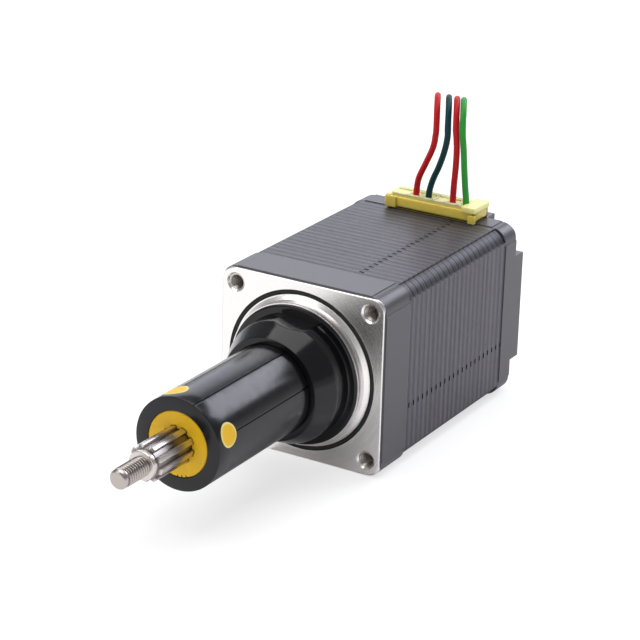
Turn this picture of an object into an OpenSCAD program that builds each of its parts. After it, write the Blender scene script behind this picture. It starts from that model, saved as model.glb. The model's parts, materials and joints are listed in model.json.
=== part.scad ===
// Size 11 captive linear stepper motor. A nut in the rotor drives a screw whose
// splined front half slides, without turning, through a bushing in a guide sleeve.
// Millimetres, +Z up. Origin: centre of the front mounting face, on the shaft axis.
// The plunger points along -Y and the body lies along +Y.

/* [Body] */
// Width and height of both end bells
body_w = 28.2; // [28:0.1:28.6]
// Width and height of the stator stack
stack_w = 28; // [27.8:0.1:28]
// Length of the front bell
front_bell_len = 7.2; // [7.2:0.1:8]
// Thickness of one stator plate
plate_t = 0.35; // [0.35:0.01:0.38]
// Number of stator plates
plate_count = 87; // [87:1:95]
// Length of the rear bell at its middle
rear_bell_len = 6.15; // [6.15:0.05:8]
// Depth of the screw pockets in the rear bell's corners
pocket_depth = 2.6; // [2:0.1:2.8]
// Corner radius of the end bells
bell_corner_r = 2.4; // [2:0.1:3]
// Chamfer round the front face
face_chamfer = 0.3; // [0.2:0.05:0.6]

/* [Front mounting] */
// Spacing of the four tapped mounting holes
hole_spacing = 23; // [22.8:0.1:23.2]
// Radius of the mounting holes, for M2.5 screws
hole_r = 1.25; // [1:0.05:1.4]
// Depth of the mounting holes
hole_depth = 3.4; // [2.5:0.1:3.6]
// Radius of the pilot boss
pilot_r = 11; // [10.9:0.05:11.1]
// Height of the pilot boss
pilot_len = 1.9; // [1.5:0.1:2.2]

/* [Sleeve] */
// Outer radius of the guide sleeve
sleeve_r = 6.93; // [6.8:0.01:7]
// Inner radius of the guide sleeve
sleeve_bore_r = 4.84; // [4.7:0.01:5]
// Distance from the mounting face to the sleeve's front end
sleeve_reach = 32; // [31:0.5:34]
// Width across the two wrench flats of the base
wrench_af = 18.2; // [17.8:0.1:18.6]
// Radius of the bushing lugs that show through the sleeve
lug_r = 1.8; // [1.5:0.1:2]

/* [Plunger] */
// Radius over the tips of the splines
spline_tip_r = 2.75; // [2.6:0.01:2.8]
// Radius at the root of the splines
spline_root_r = 2.28; // [2.2:0.01:2.35]
// Number of splines
spline_count = 9; // [6:1:10]
// Width of each spline
spline_w = 0.9; // [0.7:0.1:1]
// Radius of the threaded stud, M3
stud_r = 1.5; // [1.4:0.05:1.6]
// Length of the threaded stud
stud_len = 5.4; // [4:0.1:7]
// Radius of the lead screw
screw_r = 2.38; // [2.3:0.01:2.38]

/* [Rotor] */
// Radius of the rotor stacks over the teeth
rotor_r = 8.9; // [8.8:0.05:8.9]
// Number of rotor teeth
tooth_count = 50; // [40:10:60]
// Radius of the rotor hub
hub_r = 4; // [3.9:0.1:4]

/* [Leads] */
// Diameter of each lead
lead_d = 1; // [0.9:0.1:1]

/* [Hidden] */
$fn = 96;
eps = 0.01;

// Stations along the shaft, as y values from the mounting face
stack_y = front_bell_len;
stack_len = plate_count * plate_t;
rear_y = stack_y + stack_len;
body_y = rear_y + rear_bell_len;
pocket_y = body_y - pocket_depth;
front_bearing_y = 0.9;
bearing_len = 4;
rear_bearing_y = rear_y + 0.3;
cavity_y = 4.2;
rear_cavity_y = body_y - 2.2;
rear_wall_y = body_y - 1.3;

// Bells
bell_flat_half = 11.4;
bell_bead_step = 0.12;
cavity_r = 12.6;
boss_r = 9;
spigot_r = 6.9;
spigot_y = 0.6;
spigot_bore_r = 6.95;
groove_r = 11.8;
groove_outer_r = 12.5;
groove_depth = 0.65;
seal_r = 0.32;
pilot_flare = 0.6;
pilot_flare_len = 0.35;
hole_mouth_r = 1.52;
hole_mouth_depth = 0.3;
pocket_r = 2.75;
rear_hole_r = 3.3;
rear_recess_r = 7;
rear_recess_depth = 0.4;

// Case screws
case_screw_r = 1;
case_screw_clear_r = 1.1;
case_screw_tip_y = 4.4;
case_hole_y = 4;
case_hole_r = 1.05;
case_head_r = 1.9;
case_head_len = 1.1;
cross_w = 0.5;
cross_len = 2.2;
cross_depth = 0.7;

// Stator
flat_half = 12.05;
bead_step = 0.17;
bead_r = 2.6;
stator_bore_r = 9.2;
shoe_r = 9.8;
yoke_r = 12.2;
pole_w = 2.6;
pole_count = 8;
slot_mouth_w = 1.4;
notch_w = 0.84;
notch_depth = 0.4;
notch_offset = 5;
insulator_t = 0.8;
insulator_reach = 2.3;
insulator_r = 12.45;
insulator_bore_r = 9.25;
coil_r = 9.95;
coil_t = 1.65;
coil_w = 6.8;
coil_hole_w = 3.5;
coil_reach = 2.6;
coil_hole_reach = insulator_t + 0.05;
coil_corner_r = 1.5;
coil_hole_corner_r = 0.5;

// Rotor
stack_segment = 5.5;
magnet_t = 2.5;
rotor_front_y = 8.4;
half_rotor = 2 * stack_segment + magnet_t;
hub_flange_t = 1;
hub_flange_r = 6.5;
hub_bore_r = 3.3;
hub_end_y = body_y - 1.6;
spacer_r = 5;
magnet_r = 8.2;
tooth_depth = 0.4;
nut_r = 3.3;
nut_bore_r = 2.44;
nut_front_y = 1.2;
nut_len = 18;

// Bearings
ball_ring_r = 6;
ball_r = 0.95;
ball_count = 10;
race_groove_r = 1;
bearing_r = 8;
inner_race_r = 5.2;
outer_race_bore_r = 6.8;
cage_in_r = 5.5;
cage_out_r = 6.5;
cage_len = 3;
wave_spring_r = 7.8;
wave_spring_bore_r = 6.2;
wave_spring_t = 0.5;

// Sleeve and base
base_flange_r = 10.85;
base_flange_t = 0.1;
base_rim_r = 10.45;
base_rim_t = 0.15;
base_neck_r = 9.5;
base_cone_y = -5.4;
wrench_turn = 83;
collar_y = -8.75;
collar_r = 7.9;
sleeve_socket_r = 6.95;
sleeve_rear_y = -2.4;
lug_y = 2.7 - sleeve_reach;
lug_turn = 17.5;
lug_sink = 0.02;
bushing_len = 5.5;
seam_w = 0.22;
seam_depth = 0.12;

// Plunger
spline_front_y = -39.7;
spline_rear_y = -0.5;
spline_turn = 25;
spline_gap = 0.05;
shaft_collar_r = 2.15;
shaft_collar_y = -40.6;
stud_chamfer = 0.5;
screw_end_y = 40.6;
stop_r = 4.4;
stop_y = 0.5;

// Connector
plug_x = [-6.55, 8.05];
header_x = [-7.1, 8.6];
header_y = [37, 41.6];
header_wall = 0.5;
header_floor_z = 14.6;
header_top_z = 16;
neck_y = [38, 41.2];
neck_z = 13.2;
plug_top_z = 16.5;
plug_gap = 0.05;
lip_over = 0.16;
lip_t = 0.9;
lip_w = 1.2;
contact_x = [-4.8, -2.6, -0.4, 1.8, 4, 6.2];
wired_x = [-2.65, -0.4, 3.9, 6.3];
contact_y = 38.6;
wire_hole_r = 0.72;
terminal_w = 0.9;
terminal_z = [14.9, 15.4];
pin_w = 0.5;
pin_bend_z = 12.75;
board_y = 40.5;
board_t = 0.8;
board_r = 12.35;
board_bore_r = 9.4;
board_tab_x = [-5.3, 6.7];
board_tab_z = 13.1;
window_gap = 0.1;
window_floor_z = 10.6;

// Leads: out of the plug, over in one arch, down behind the body and into the coil
lead_sides = 8;
lead_red_left_route = [
    [-2.65, 38.6, 15.4], [-2.65, 38.6, 17], [-2.35, 38.6, 19.2], [-1.15, 38.6, 22],
    [0, 38.6, 24.8], [0.35, 38.6, 27], [0.4, 38.6, 28], [-0.15, 39.6, 30.8],
    [-1.45, 42.1, 32], [-2.85, 44.7, 30.8], [-3.35, 45.7, 28], [-3.4, 45.7, 24.6],
    [-3.75, 45.7, 22.4], [-4.95, 45.7, 19.5], [-6.15, 45.7, 16.6], [-6.45, 45.7, 14.4],
    [-5.5, 45.7, 4], [-3.8, 45.7, -8], [-3.5, 45.9, -11], [-3.5, 47, -12.9],
    [-3.5, 49.2, -13.6]
];
lead_teal_route = [
    [-0.4, 38.6, 15.4], [-0.4, 38.6, 17], [0.1, 38.6, 19.2], [1.25, 38.6, 22],
    [2.1, 38.6, 24.8], [2.45, 38.6, 27], [2.4, 38.6, 28], [1.9, 39.6, 30.8],
    [0.55, 42.1, 32], [-0.8, 44.7, 30.8], [-1.3, 45.7, 28], [-1.25, 45.7, 24.6],
    [-1.6, 45.7, 22.4], [-2.5, 45.7, 19.5], [-3.65, 45.7, 16.6], [-4.15, 45.7, 14.4],
    [-3.6, 45.7, 4], [-2.6, 45.7, -8], [-2.45, 45.9, -11], [-2.45, 47, -12.9],
    [-2.45, 49.9, -13.6]
];
lead_red_right_route = [
    [3.9, 38.6, 15.4], [3.9, 38.6, 17], [3.95, 38.6, 19.2], [4.1, 38.6, 22],
    [4.15, 38.6, 24.8], [4, 38.6, 27], [3.85, 38.6, 28], [3.3, 39.6, 30.8],
    [2, 42.1, 32], [0.65, 44.7, 30.8], [0.15, 45.7, 28], [0.35, 45.7, 24.6],
    [0.5, 45.7, 22.4], [0.45, 45.7, 19.5], [0.25, 45.7, 16.6], [0.2, 45.7, 14.4],
    [-0.3, 45.7, 4], [-1.3, 45.7, -8], [-1.4, 45.9, -11], [-1.4, 47, -12.9],
    [-1.4, 50.9, -13.6]
];
lead_green_route = [
    [6.3, 38.6, 15.4], [6.2, 38.6, 17], [5.95, 38.6, 19.2], [5.65, 38.6, 22],
    [5.4, 38.6, 24.8], [5.15, 38.6, 27], [5, 38.6, 28], [4.5, 39.6, 30.8],
    [3.2, 42.1, 32], [1.85, 44.7, 30.8], [1.35, 45.7, 28], [1.5, 45.7, 24.6],
    [1.75, 45.7, 22.4], [2, 45.7, 19.5], [2.3, 45.7, 16.6], [2.6, 45.7, 14.4],
    [1.8, 45.7, 4], [-0.1, 45.7, -8], [-0.35, 45.9, -11], [-0.35, 47, -12.9],
    [-0.35, 52.7, -13.6]
];
coil_at = [-8.4, 56];
coil_in_r = 4.35;
coil_out_r = 8.6;
coil_base_z = 0.4 - body_w / 2;
coil_height = 8.4;
coil_rim_height = 5.4;
coil_rim_r = 7.4;
tie_w = 2.2;
tie_t = 0.35;
tie_gap = 0.05;

// Extrudes an outline in X and Z from y0 back to y1
module span(y0, y1) {
    translate([0, y1, 0])
        rotate([90, 0, 0])
            linear_extrude(y1 - y0) children();
}

// A round bar on the shaft axis
module rod(r, y0, y1) {
    span(y0, y1) circle(r);
}

// A round tube on the shaft axis
module tube(r_out, r_in, y0, y1) {
    span(y0, y1) difference() {
        circle(r_out);
        circle(r_in);
    }
}

// A cone on the shaft axis, of radius r0 at y0 and r1 at y1
module taper(r0, r1, y0, y1) {
    translate([0, y1, 0])
        rotate([90, 0, 0])
            cylinder(h = y1 - y0, r1 = r1, r2 = r0);
}

// A box given by its X, Y and Z limits
module block(x, y, z) {
    translate([x[0], y[0], z[0]])
        cube([x[1] - x[0], y[1] - y[0], z[1] - z[0]]);
}

// A rectangle with round corners, centred
module round_rect(w, h, r) {
    square([w - 2 * r, h], center = true);
    square([w, h - 2 * r], center = true);
    for (x = [-1, 1], z = [-1, 1])
        translate([x * (w / 2 - r), z * (h / 2 - r)]) circle(r);
}

// Children at each of the four screw positions
module at_corners() {
    half = hole_spacing / 2;
    for (x = [-half, half], z = [-half, half])
        translate([x, 0, z]) children();
}

// A half profile drawn as [radius, -y] and turned round the shaft axis at y
module turned(y) {
    translate([0, y, 0])
        rotate([90, 0, 0])
            rotate_extrude() children();
}

// Flat sides with an inset round bead at each corner
module beaded_square(w, flat, step, r) {
    bead_w = w - 2 * step;
    square([w, 2 * flat], center = true);
    square([2 * flat, w], center = true);
    round_rect(bead_w, bead_w, r);
}

// Outline of both end bells
module bell_outline() {
    beaded_square(body_w, bell_flat_half, bell_bead_step, bell_corner_r);
}

// The front of a square plate, with round corners and a chamfer round its face
module chamfered_front(w, r, chamfer) {
    half = w / 2;
    for (x = [-1, 1], z = [-1, 1])
        translate([x * (half - r), 0, z * (half - r)])
            taper(r - chamfer, r, 0, chamfer);
    for (turn = [0, 90])
        rotate([0, turn, 0])
            translate([r - half, 0, 0])
                rotate([90, 0, 90])
                    linear_extrude(w - 2 * r) face_band(half, chamfer);
}

// Section of the chamfered band, as [y, z]
module face_band(half, chamfer) {
    polygon([
        [0, chamfer - half], [chamfer, -half], [chamfer, half], [0, half - chamfer]
    ]);
}

module front_bell() {
    color("dimgray") difference() {
        union() {
            chamfered_front(body_w - 2 * bell_bead_step, bell_corner_r, face_chamfer);
            span(face_chamfer, front_bell_len) bell_outline();
            rod(pilot_r, -pilot_len, face_chamfer);
            taper(pilot_r, pilot_r + pilot_flare, -pilot_flare_len, 0);
        }
        tube(groove_outer_r, groove_r, -eps, groove_depth);
        rod(spigot_bore_r, -pilot_len - eps, front_bearing_y);
        rod(bearing_r, front_bearing_y - eps, front_bell_len + eps);
        rod(cavity_r, cavity_y, front_bell_len + eps);
        at_corners() {
            rod(hole_r, -eps, hole_depth);
            taper(hole_mouth_r, hole_r, -eps, hole_mouth_depth);
            rod(case_hole_r, case_hole_y, front_bell_len + eps);
        }
    }
}

module seal_ring() {
    color("black") turned(seal_r)
        translate([(groove_r + groove_outer_r) / 2, 0]) circle(seal_r);
}

// The winding slots between the poles
module slot_outline() {
    difference() {
        circle(yoke_r);
        circle(shoe_r);
        for (i = [0 : pole_count - 1])
            rotate(i * 360 / pole_count)
                translate([0, -pole_w / 2]) square([yoke_r + 1, pole_w]);
    }
}

// The narrow mouths between the pole shoes
module slot_mouths() {
    for (i = [0 : pole_count - 1])
        rotate((i + 0.5) * 360 / pole_count)
            translate([stator_bore_r - 0.5, -slot_mouth_w / 2])
                square([shoe_r - stator_bore_r + 1, slot_mouth_w]);
}

// Edge notches: every plate has one, and is turned a quarter from its neighbour
module plate_notches() {
    half = stack_w / 2;
    for (i = [0 : plate_count - 1])
        rotate([0, -90 * (i + 1), 0])
            block(
                [notch_offset - notch_w / 2, notch_offset + notch_w / 2],
                [stack_y + i * plate_t, stack_y + (i + 1) * plate_t],
                [half - notch_depth, half + 1]
            );
}

module stator_laminations() {
    color("slategray") difference() {
        span(stack_y, rear_y) difference() {
            beaded_square(stack_w, flat_half, bead_step, bead_r);
            circle(stator_bore_r);
            slot_outline();
            slot_mouths();
            for (x = [-1, 1], z = [-1, 1])
                translate([x * hole_spacing / 2, z * hole_spacing / 2])
                    circle(case_screw_clear_r);
        }
        plate_notches();
    }
}

// A corner pocket, open to the two side faces beside it
module corner_pocket() {
    half = hole_spacing / 2;
    reach = body_w / 2 - half + 1;
    translate([half, half]) {
        circle(pocket_r);
        translate([-pocket_r, 0]) square([pocket_r + reach, reach]);
        translate([0, -pocket_r]) square([reach, pocket_r + reach]);
    }
}

module rear_bell() {
    color("dimgray") difference() {
        union() {
            span(rear_y, pocket_y) bell_outline();
            span(pocket_y - eps, body_y) difference() {
                bell_outline();
                for (turn = [0 : 90 : 270])
                    rotate(turn) corner_pocket();
            }
        }
        tube(cavity_r, boss_r, rear_y - eps, rear_cavity_y);
        rod(cavity_r, rear_y - eps, rear_bearing_y);
        rod(bearing_r, rear_y - eps, rear_wall_y);
        rod(rear_hole_r, rear_wall_y - eps, body_y + eps);
        rod(rear_recess_r, body_y - rear_recess_depth, body_y + eps);
        at_corners() rod(case_screw_clear_r, rear_y - eps, body_y);
        block(
            [plug_x[0] - window_gap, plug_x[1] + window_gap],
            [rear_y - eps, neck_y[1] + window_gap],
            [window_floor_z, body_w / 2 + 1]
        );
    }
}

module case_screws() {
    head_y = pocket_y + case_head_len;
    color("silver") at_corners() difference() {
        union() {
            rod(case_screw_r, case_screw_tip_y, pocket_y + eps);
            rod(case_head_r, pocket_y, head_y);
        }
        for (turn = [0, 90])
            rotate([0, turn, 0])
                block(
                    [-cross_len / 2, cross_len / 2],
                    [head_y - cross_depth, head_y + eps],
                    [-cross_w / 2, cross_w / 2]
                );
    }
}

// A winding insulator: a plate on the stack's end with an inner and an outer wall
module winding_insulator(y, side) {
    plate = [min(y, y + side * insulator_t), max(y, y + side * insulator_t)];
    wall = [min(y, y + side * insulator_reach), max(y, y + side * insulator_reach)];
    span(plate[0], plate[1]) difference() {
        circle(insulator_r);
        circle(insulator_bore_r);
        slot_outline();
        slot_mouths();
    }
    tube(insulator_r, yoke_r, wall[0], wall[1]);
    tube(shoe_r, insulator_bore_r, wall[0], wall[1]);
}

module front_winding_insulator() {
    color("beige") winding_insulator(stack_y, -1);
}

module rear_winding_insulator() {
    color("beige") winding_insulator(rear_y, 1);
}

// One coil round the pole that points along +X
module coil() {
    mid_y = stack_y + stack_len / 2;
    outer_len = stack_len + 2 * coil_reach;
    hole_len = stack_len + 2 * coil_hole_reach;
    translate([coil_r, mid_y, 0])
        rotate([0, 90, 0])
            linear_extrude(coil_t) difference() {
                round_rect(coil_w, outer_len, coil_corner_r);
                round_rect(coil_hole_w, hole_len, coil_hole_corner_r);
            }
}

// Coils on every second pole
module phase_windings(start) {
    for (turn = [start : 90 : start + 270])
        rotate([0, turn, 0]) coil();
}

module phase_a_windings() {
    color("peru") phase_windings(0);
}

module phase_b_windings() {
    color("peru") phase_windings(45);
}

module outer_race(y) {
    turned(y + bearing_len / 2) difference() {
        translate([outer_race_bore_r, -bearing_len / 2])
            square([bearing_r - outer_race_bore_r, bearing_len]);
        translate([ball_ring_r, 0]) circle(race_groove_r);
    }
}

module inner_race(y) {
    turned(y + bearing_len / 2) difference() {
        translate([hub_r, -bearing_len / 2])
            square([inner_race_r - hub_r, bearing_len]);
        translate([ball_ring_r, 0]) circle(race_groove_r);
    }
}

// Children at each ball of the bearing that starts at y
module at_balls(y) {
    for (i = [0 : ball_count - 1])
        translate([0, y + bearing_len / 2, 0])
            rotate([0, i * 360 / ball_count, 0])
                translate([ball_ring_r, 0, 0]) children();
}

module bearing_cage(y) {
    mid = y + bearing_len / 2;
    difference() {
        tube(cage_out_r, cage_in_r, mid - cage_len / 2, mid + cage_len / 2);
        at_balls(y)
            rotate([0, 90, 0]) cylinder(h = 2, r = race_groove_r, center = true);
    }
}

module front_bearing_outer_race() {
    color("silver") outer_race(front_bearing_y);
}

module rear_bearing_outer_race() {
    color("silver") outer_race(rear_bearing_y);
}

module front_bearing_inner_race() {
    color("silver") inner_race(front_bearing_y);
}

module rear_bearing_inner_race() {
    color("silver") inner_race(rear_bearing_y);
}

module front_bearing_cage() {
    color("goldenrod") bearing_cage(front_bearing_y);
}

module rear_bearing_cage() {
    color("goldenrod") bearing_cage(rear_bearing_y);
}

module front_bearing_balls() {
    color("lightsteelblue") at_balls(front_bearing_y) sphere(ball_r);
}

module rear_bearing_balls() {
    color("lightsteelblue") at_balls(rear_bearing_y) sphere(ball_r);
}

module wave_spring() {
    spring_y = rear_bearing_y + bearing_len;
    color("silver")
        tube(wave_spring_r, wave_spring_bore_r, spring_y, spring_y + wave_spring_t);
}

// The round neck and its cone, with two wrench flats
module base_neck(y) {
    intersection() {
        union() {
            taper(collar_r, base_neck_r, collar_y, base_cone_y);
            rod(base_neck_r, base_cone_y - eps, y);
        }
        rotate([0, -wrench_turn, 0])
            block(
                [-wrench_af / 2, wrench_af / 2],
                [collar_y - 1, y],
                [-base_flange_r, base_flange_r]
            );
    }
}

module sleeve_base() {
    rim_y = -pilot_len - base_flange_t;
    face_y = rim_y - base_rim_t;
    color([0.1, 0.1, 0.11]) difference() {
        union() {
            rod(base_flange_r, rim_y, -pilot_len);
            taper(base_rim_r, base_flange_r, face_y, rim_y);
            base_neck(rim_y);
            rod(spigot_r, -pilot_len - eps, spigot_y);
        }
        rod(sleeve_socket_r, collar_y - eps, sleeve_rear_y);
        rod(sleeve_bore_r, sleeve_rear_y - eps, spigot_y + eps);
    }
}

// Radial bars at the four lug positions, out to radius r_out
module lugs(r, r_out) {
    for (i = [0 : 3])
        rotate([0, -lug_turn - 90 * i, 0])
            translate([spline_tip_r + 1, lug_y, 0])
                rotate([0, 90, 0]) cylinder(h = r_out - spline_tip_r - 1, r = r);
}

// A fine seam along the sleeve at an angle from +X towards +Z
module seam(angle, y0, y1) {
    rotate([0, -angle, 0])
        block(
            [sleeve_r - seam_depth, sleeve_r + 1],
            [y0, y1],
            [-seam_w / 2, seam_w / 2]
        );
}

module guide_sleeve() {
    color([0.15, 0.15, 0.17]) difference() {
        tube(sleeve_r, sleeve_bore_r, -sleeve_reach, sleeve_rear_y);
        lugs(lug_r + eps, sleeve_r + 1);
        for (i = [0 : 3]) {
            seam(lug_turn + 90 * i, lug_y, sleeve_rear_y + eps);
            seam(lug_turn + 90 * i + 49.7, -sleeve_reach - eps, sleeve_rear_y + eps);
        }
    }
}

// Spline outline, grown by gap on every side
module spline_outline(gap) {
    circle(spline_root_r + gap);
    intersection() {
        circle(spline_tip_r + gap);
        for (i = [0 : spline_count - 1])
            rotate(spline_turn + i * 360 / spline_count)
                translate([0, -spline_w / 2 - gap])
                    square([spline_tip_r + 1, spline_w + 2 * gap]);
    }
}

module spline_bushing() {
    rear = bushing_len - sleeve_reach;
    color("goldenrod") difference() {
        union() {
            rod(sleeve_bore_r, -sleeve_reach, rear);
            intersection() {
                lugs(lug_r, sleeve_r + 1);
                rod(sleeve_r - lug_sink, -sleeve_reach, rear);
            }
        }
        span(-sleeve_reach - eps, rear + eps) spline_outline(spline_gap);
    }
}

module connector_header() {
    inner_x = [header_x[0] + header_wall, header_x[1] - header_wall];
    inner_y = [header_y[0] + header_wall, header_y[1] - header_wall];
    color("khaki") difference() {
        union() {
            block(header_x, header_y, [body_w / 2, header_top_z]);
            block(plug_x, neck_y, [neck_z, body_w / 2 + eps]);
        }
        block(inner_x, inner_y, [header_floor_z, header_top_z + 1]);
        for (x = contact_x)
            translate([x, contact_y, neck_z - 1])
                translate([-pin_w / 2, -pin_w / 2, 0]) cube([pin_w, pin_w, 3]);
    }
}

module connector_plug() {
    body_y_limits = [
        header_y[0] + header_wall + plug_gap,
        header_y[1] - header_wall - plug_gap
    ];
    lip_y = [header_y[0] - lip_over, header_y[1] + lip_over];
    lip_z = [header_top_z, plug_top_z];
    color("palegoldenrod") difference() {
        union() {
            block(
                plug_x,
                body_y_limits,
                [header_floor_z + plug_gap, plug_top_z]
            );
            block([header_x[0] - lip_over, plug_x[0] + lip_w], lip_y, lip_z);
            block([plug_x[1] - lip_w, header_x[1] + lip_over], lip_y, lip_z);
        }
        for (x = concat(wired_x, [contact_x[0], contact_x[3]]))
            translate([x, contact_y, header_floor_z + 0.3])
                cylinder(h = 3, r = wire_hole_r);
    }
}

// Pins that run down from the plug and back to the circuit board
module connector_pins() {
    half = pin_w / 2;
    color("gold") for (x = contact_x) {
        block(
            [x - half, x + half],
            [contact_y - half, contact_y + half],
            [pin_bend_z - half, header_floor_z]
        );
        block(
            [x - half, x + half],
            [contact_y - half, board_y],
            [pin_bend_z - half, pin_bend_z + half]
        );
    }
}

module crimp_terminals() {
    half = terminal_w / 2;
    color("silver") for (x = wired_x)
        block([x - half, x + half], [contact_y - half, contact_y + half], terminal_z);
}

module circuit_board() {
    color("darkgreen") {
        tube(board_r, board_bore_r, board_y, board_y + board_t);
        block(board_tab_x, [board_y, board_y + board_t], [board_bore_r + 1, board_tab_z]);
    }
}

// Unit vector
function unit(v) = v / norm(v);

// Direction of the route at point i
function heading(route, i) =
    unit(route[min(i + 1, len(route) - 1)] - route[max(i - 1, 0)]);

// One ring of the tube: across the heading, starting from the +X side
function tube_ring(route, i) =
    let (
        ahead = heading(route, i),
        up = unit(cross([1, 0, 0], ahead)),
        side = cross(ahead, up)
    )
    [
        for (k = [0 : lead_sides - 1])
            let (turn = k * 360 / lead_sides)
            route[i] + lead_d / 2 * (cos(turn) * side + sin(turn) * up)
    ];

// A lead's tube, one closed polyhedron swept along its route
module swept_lead(route) {
    rings = len(route);
    points = [for (i = [0 : rings - 1]) each tube_ring(route, i)];
    sides = [
        for (i = [0 : rings - 2], k = [0 : lead_sides - 1])
            let (a = i * lead_sides + k, b = i * lead_sides + (k + 1) % lead_sides)
            [a, a + lead_sides, b + lead_sides, b]
    ];
    start_cap = [for (k = [0 : lead_sides - 1]) k];
    end_cap = [for (k = [lead_sides - 1 : -1 : 0]) (rings - 1) * lead_sides + k];
    polyhedron(points, concat(sides, [start_cap, end_cap]));
}

module lead_red_left() {
    color("firebrick") swept_lead(lead_red_left_route);
}

module lead_teal() {
    color("darkslategray") swept_lead(lead_teal_route);
}

module lead_red_right() {
    color("firebrick") swept_lead(lead_red_right_route);
}

module lead_green() {
    color("forestgreen") swept_lead(lead_green_route);
}

module lead_coil() {
    color("firebrick") translate([coil_at[0], coil_at[1], coil_base_z])
        rotate_extrude() polygon([
            [coil_in_r, 0], [coil_out_r, 0], [coil_out_r, coil_rim_height],
            [coil_rim_r, coil_rim_height], [coil_in_r + 1.2, coil_height],
            [coil_in_r, coil_height]
        ]);
}

// A band round one side of the coil
module coil_tie() {
    inner_y = [coil_in_r - 0.2, coil_out_r + tie_gap];
    inner_z = [-tie_gap, coil_height + tie_gap];
    half = tie_w / 2;
    color("ivory") translate([coil_at[0], coil_at[1], coil_base_z]) difference() {
        block(
            [-half, half],
            [inner_y[0] - tie_t, inner_y[1] + tie_t],
            [-tie_gap - tie_t, inner_z[1] + tie_t]
        );
        block([-tie_w, tie_w], inner_y, inner_z);
    }
}

module rotor_hub() {
    flange_y = rotor_front_y + half_rotor;
    rear_stack_y = rotor_front_y + 2 * half_rotor + hub_flange_t;
    color("silver") difference() {
        union() {
            rod(hub_r, front_bearing_y, hub_end_y);
            rod(spacer_r, front_bearing_y + bearing_len, rotor_front_y);
            rod(hub_flange_r, flange_y, flange_y + hub_flange_t);
            rod(spacer_r, rear_stack_y, rear_bearing_y);
        }
        rod(hub_bore_r, front_bearing_y - eps, hub_end_y + eps);
    }
}

module drive_nut() {
    color("ivory") tube(nut_r, nut_bore_r, nut_front_y, nut_front_y + nut_len);
}

// Outline of a rotor stack: teeth made of a land and a gap of equal angle
module toothed_outline(shift) {
    pitch = 360 / tooth_count;
    root = rotor_r - tooth_depth;
    polygon([
        for (i = [0 : tooth_count - 1])
            for (corner = [[root, 0], [rotor_r, 0.05], [rotor_r, 0.45], [root, 0.5]])
                let (angle = (i + shift + corner[1]) * pitch)
                corner[0] * [cos(angle), sin(angle)]
    ]);
}

module rotor_stack(y, shift) {
    color("slategray") span(y, y + stack_segment) difference() {
        toothed_outline(shift);
        circle(hub_r);
    }
}

module rotor_magnet(y) {
    color("gray") tube(magnet_r, hub_r, y, y + magnet_t);
}

module rotor_stack_1() {
    rotor_stack(rotor_front_y, 0);
}

module rotor_magnet_1() {
    rotor_magnet(rotor_front_y + stack_segment);
}

module rotor_stack_2() {
    rotor_stack(rotor_front_y + stack_segment + magnet_t, 0.5);
}

module rotor_stack_3() {
    rotor_stack(rotor_front_y + half_rotor + hub_flange_t, 0.5);
}

module rotor_magnet_2() {
    rotor_magnet(rotor_front_y + half_rotor + hub_flange_t + stack_segment);
}

module rotor_stack_4() {
    rear_start = rotor_front_y + half_rotor + hub_flange_t;
    rotor_stack(rear_start + stack_segment + magnet_t, 0);
}

module splined_shaft() {
    color("lightgray") {
        span(spline_front_y, spline_rear_y) spline_outline(0);
        rod(shaft_collar_r, shaft_collar_y, spline_front_y + eps);
    }
}

module threaded_stud() {
    tip_y = shaft_collar_y - stud_len;
    color("silver") {
        rod(stud_r, tip_y + stud_chamfer, shaft_collar_y);
        taper(stud_r - stud_chamfer, stud_r, tip_y, tip_y + stud_chamfer);
    }
}

module lead_screw() {
    color("silver") rod(screw_r, spline_rear_y, screw_end_y);
}

module stop_ring() {
    color("dimgray") tube(stop_r, screw_r, spline_rear_y, stop_y);
}

front_bell();
seal_ring();
stator_laminations();
rear_bell();
case_screws();
front_winding_insulator();
rear_winding_insulator();
phase_a_windings();
phase_b_windings();
front_bearing_outer_race();
rear_bearing_outer_race();
wave_spring();
sleeve_base();
guide_sleeve();
spline_bushing();
connector_header();
connector_plug();
connector_pins();
crimp_terminals();
circuit_board();
lead_red_left();
lead_teal();
lead_red_right();
lead_green();
lead_coil();
coil_tie();
rotor_hub();
drive_nut();
rotor_stack_1();
rotor_magnet_1();
rotor_stack_2();
rotor_stack_3();
rotor_magnet_2();
rotor_stack_4();
front_bearing_inner_race();
rear_bearing_inner_race();
splined_shaft();
threaded_stud();
lead_screw();
stop_ring();
front_bearing_cage();
front_bearing_balls();
rear_bearing_cage();
rear_bearing_balls();
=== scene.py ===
import json
import math

import bmesh
import bpy
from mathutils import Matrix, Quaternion, Vector


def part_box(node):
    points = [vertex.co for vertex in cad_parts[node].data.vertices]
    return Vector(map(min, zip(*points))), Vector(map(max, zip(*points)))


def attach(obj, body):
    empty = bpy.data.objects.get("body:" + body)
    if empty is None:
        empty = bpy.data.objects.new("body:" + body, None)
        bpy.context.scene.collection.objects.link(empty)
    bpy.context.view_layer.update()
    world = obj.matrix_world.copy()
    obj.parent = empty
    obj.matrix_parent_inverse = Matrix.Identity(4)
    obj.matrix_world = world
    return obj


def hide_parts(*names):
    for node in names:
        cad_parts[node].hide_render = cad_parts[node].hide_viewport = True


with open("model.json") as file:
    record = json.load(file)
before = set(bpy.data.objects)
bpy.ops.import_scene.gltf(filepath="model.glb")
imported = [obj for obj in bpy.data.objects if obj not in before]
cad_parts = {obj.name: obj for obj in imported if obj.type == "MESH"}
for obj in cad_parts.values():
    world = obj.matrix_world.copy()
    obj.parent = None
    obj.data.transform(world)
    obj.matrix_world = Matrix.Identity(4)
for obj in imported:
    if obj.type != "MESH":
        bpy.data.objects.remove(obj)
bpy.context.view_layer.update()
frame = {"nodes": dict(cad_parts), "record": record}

# The shapes are worked out in millimetres and written in metres.
MM = 0.001


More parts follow.
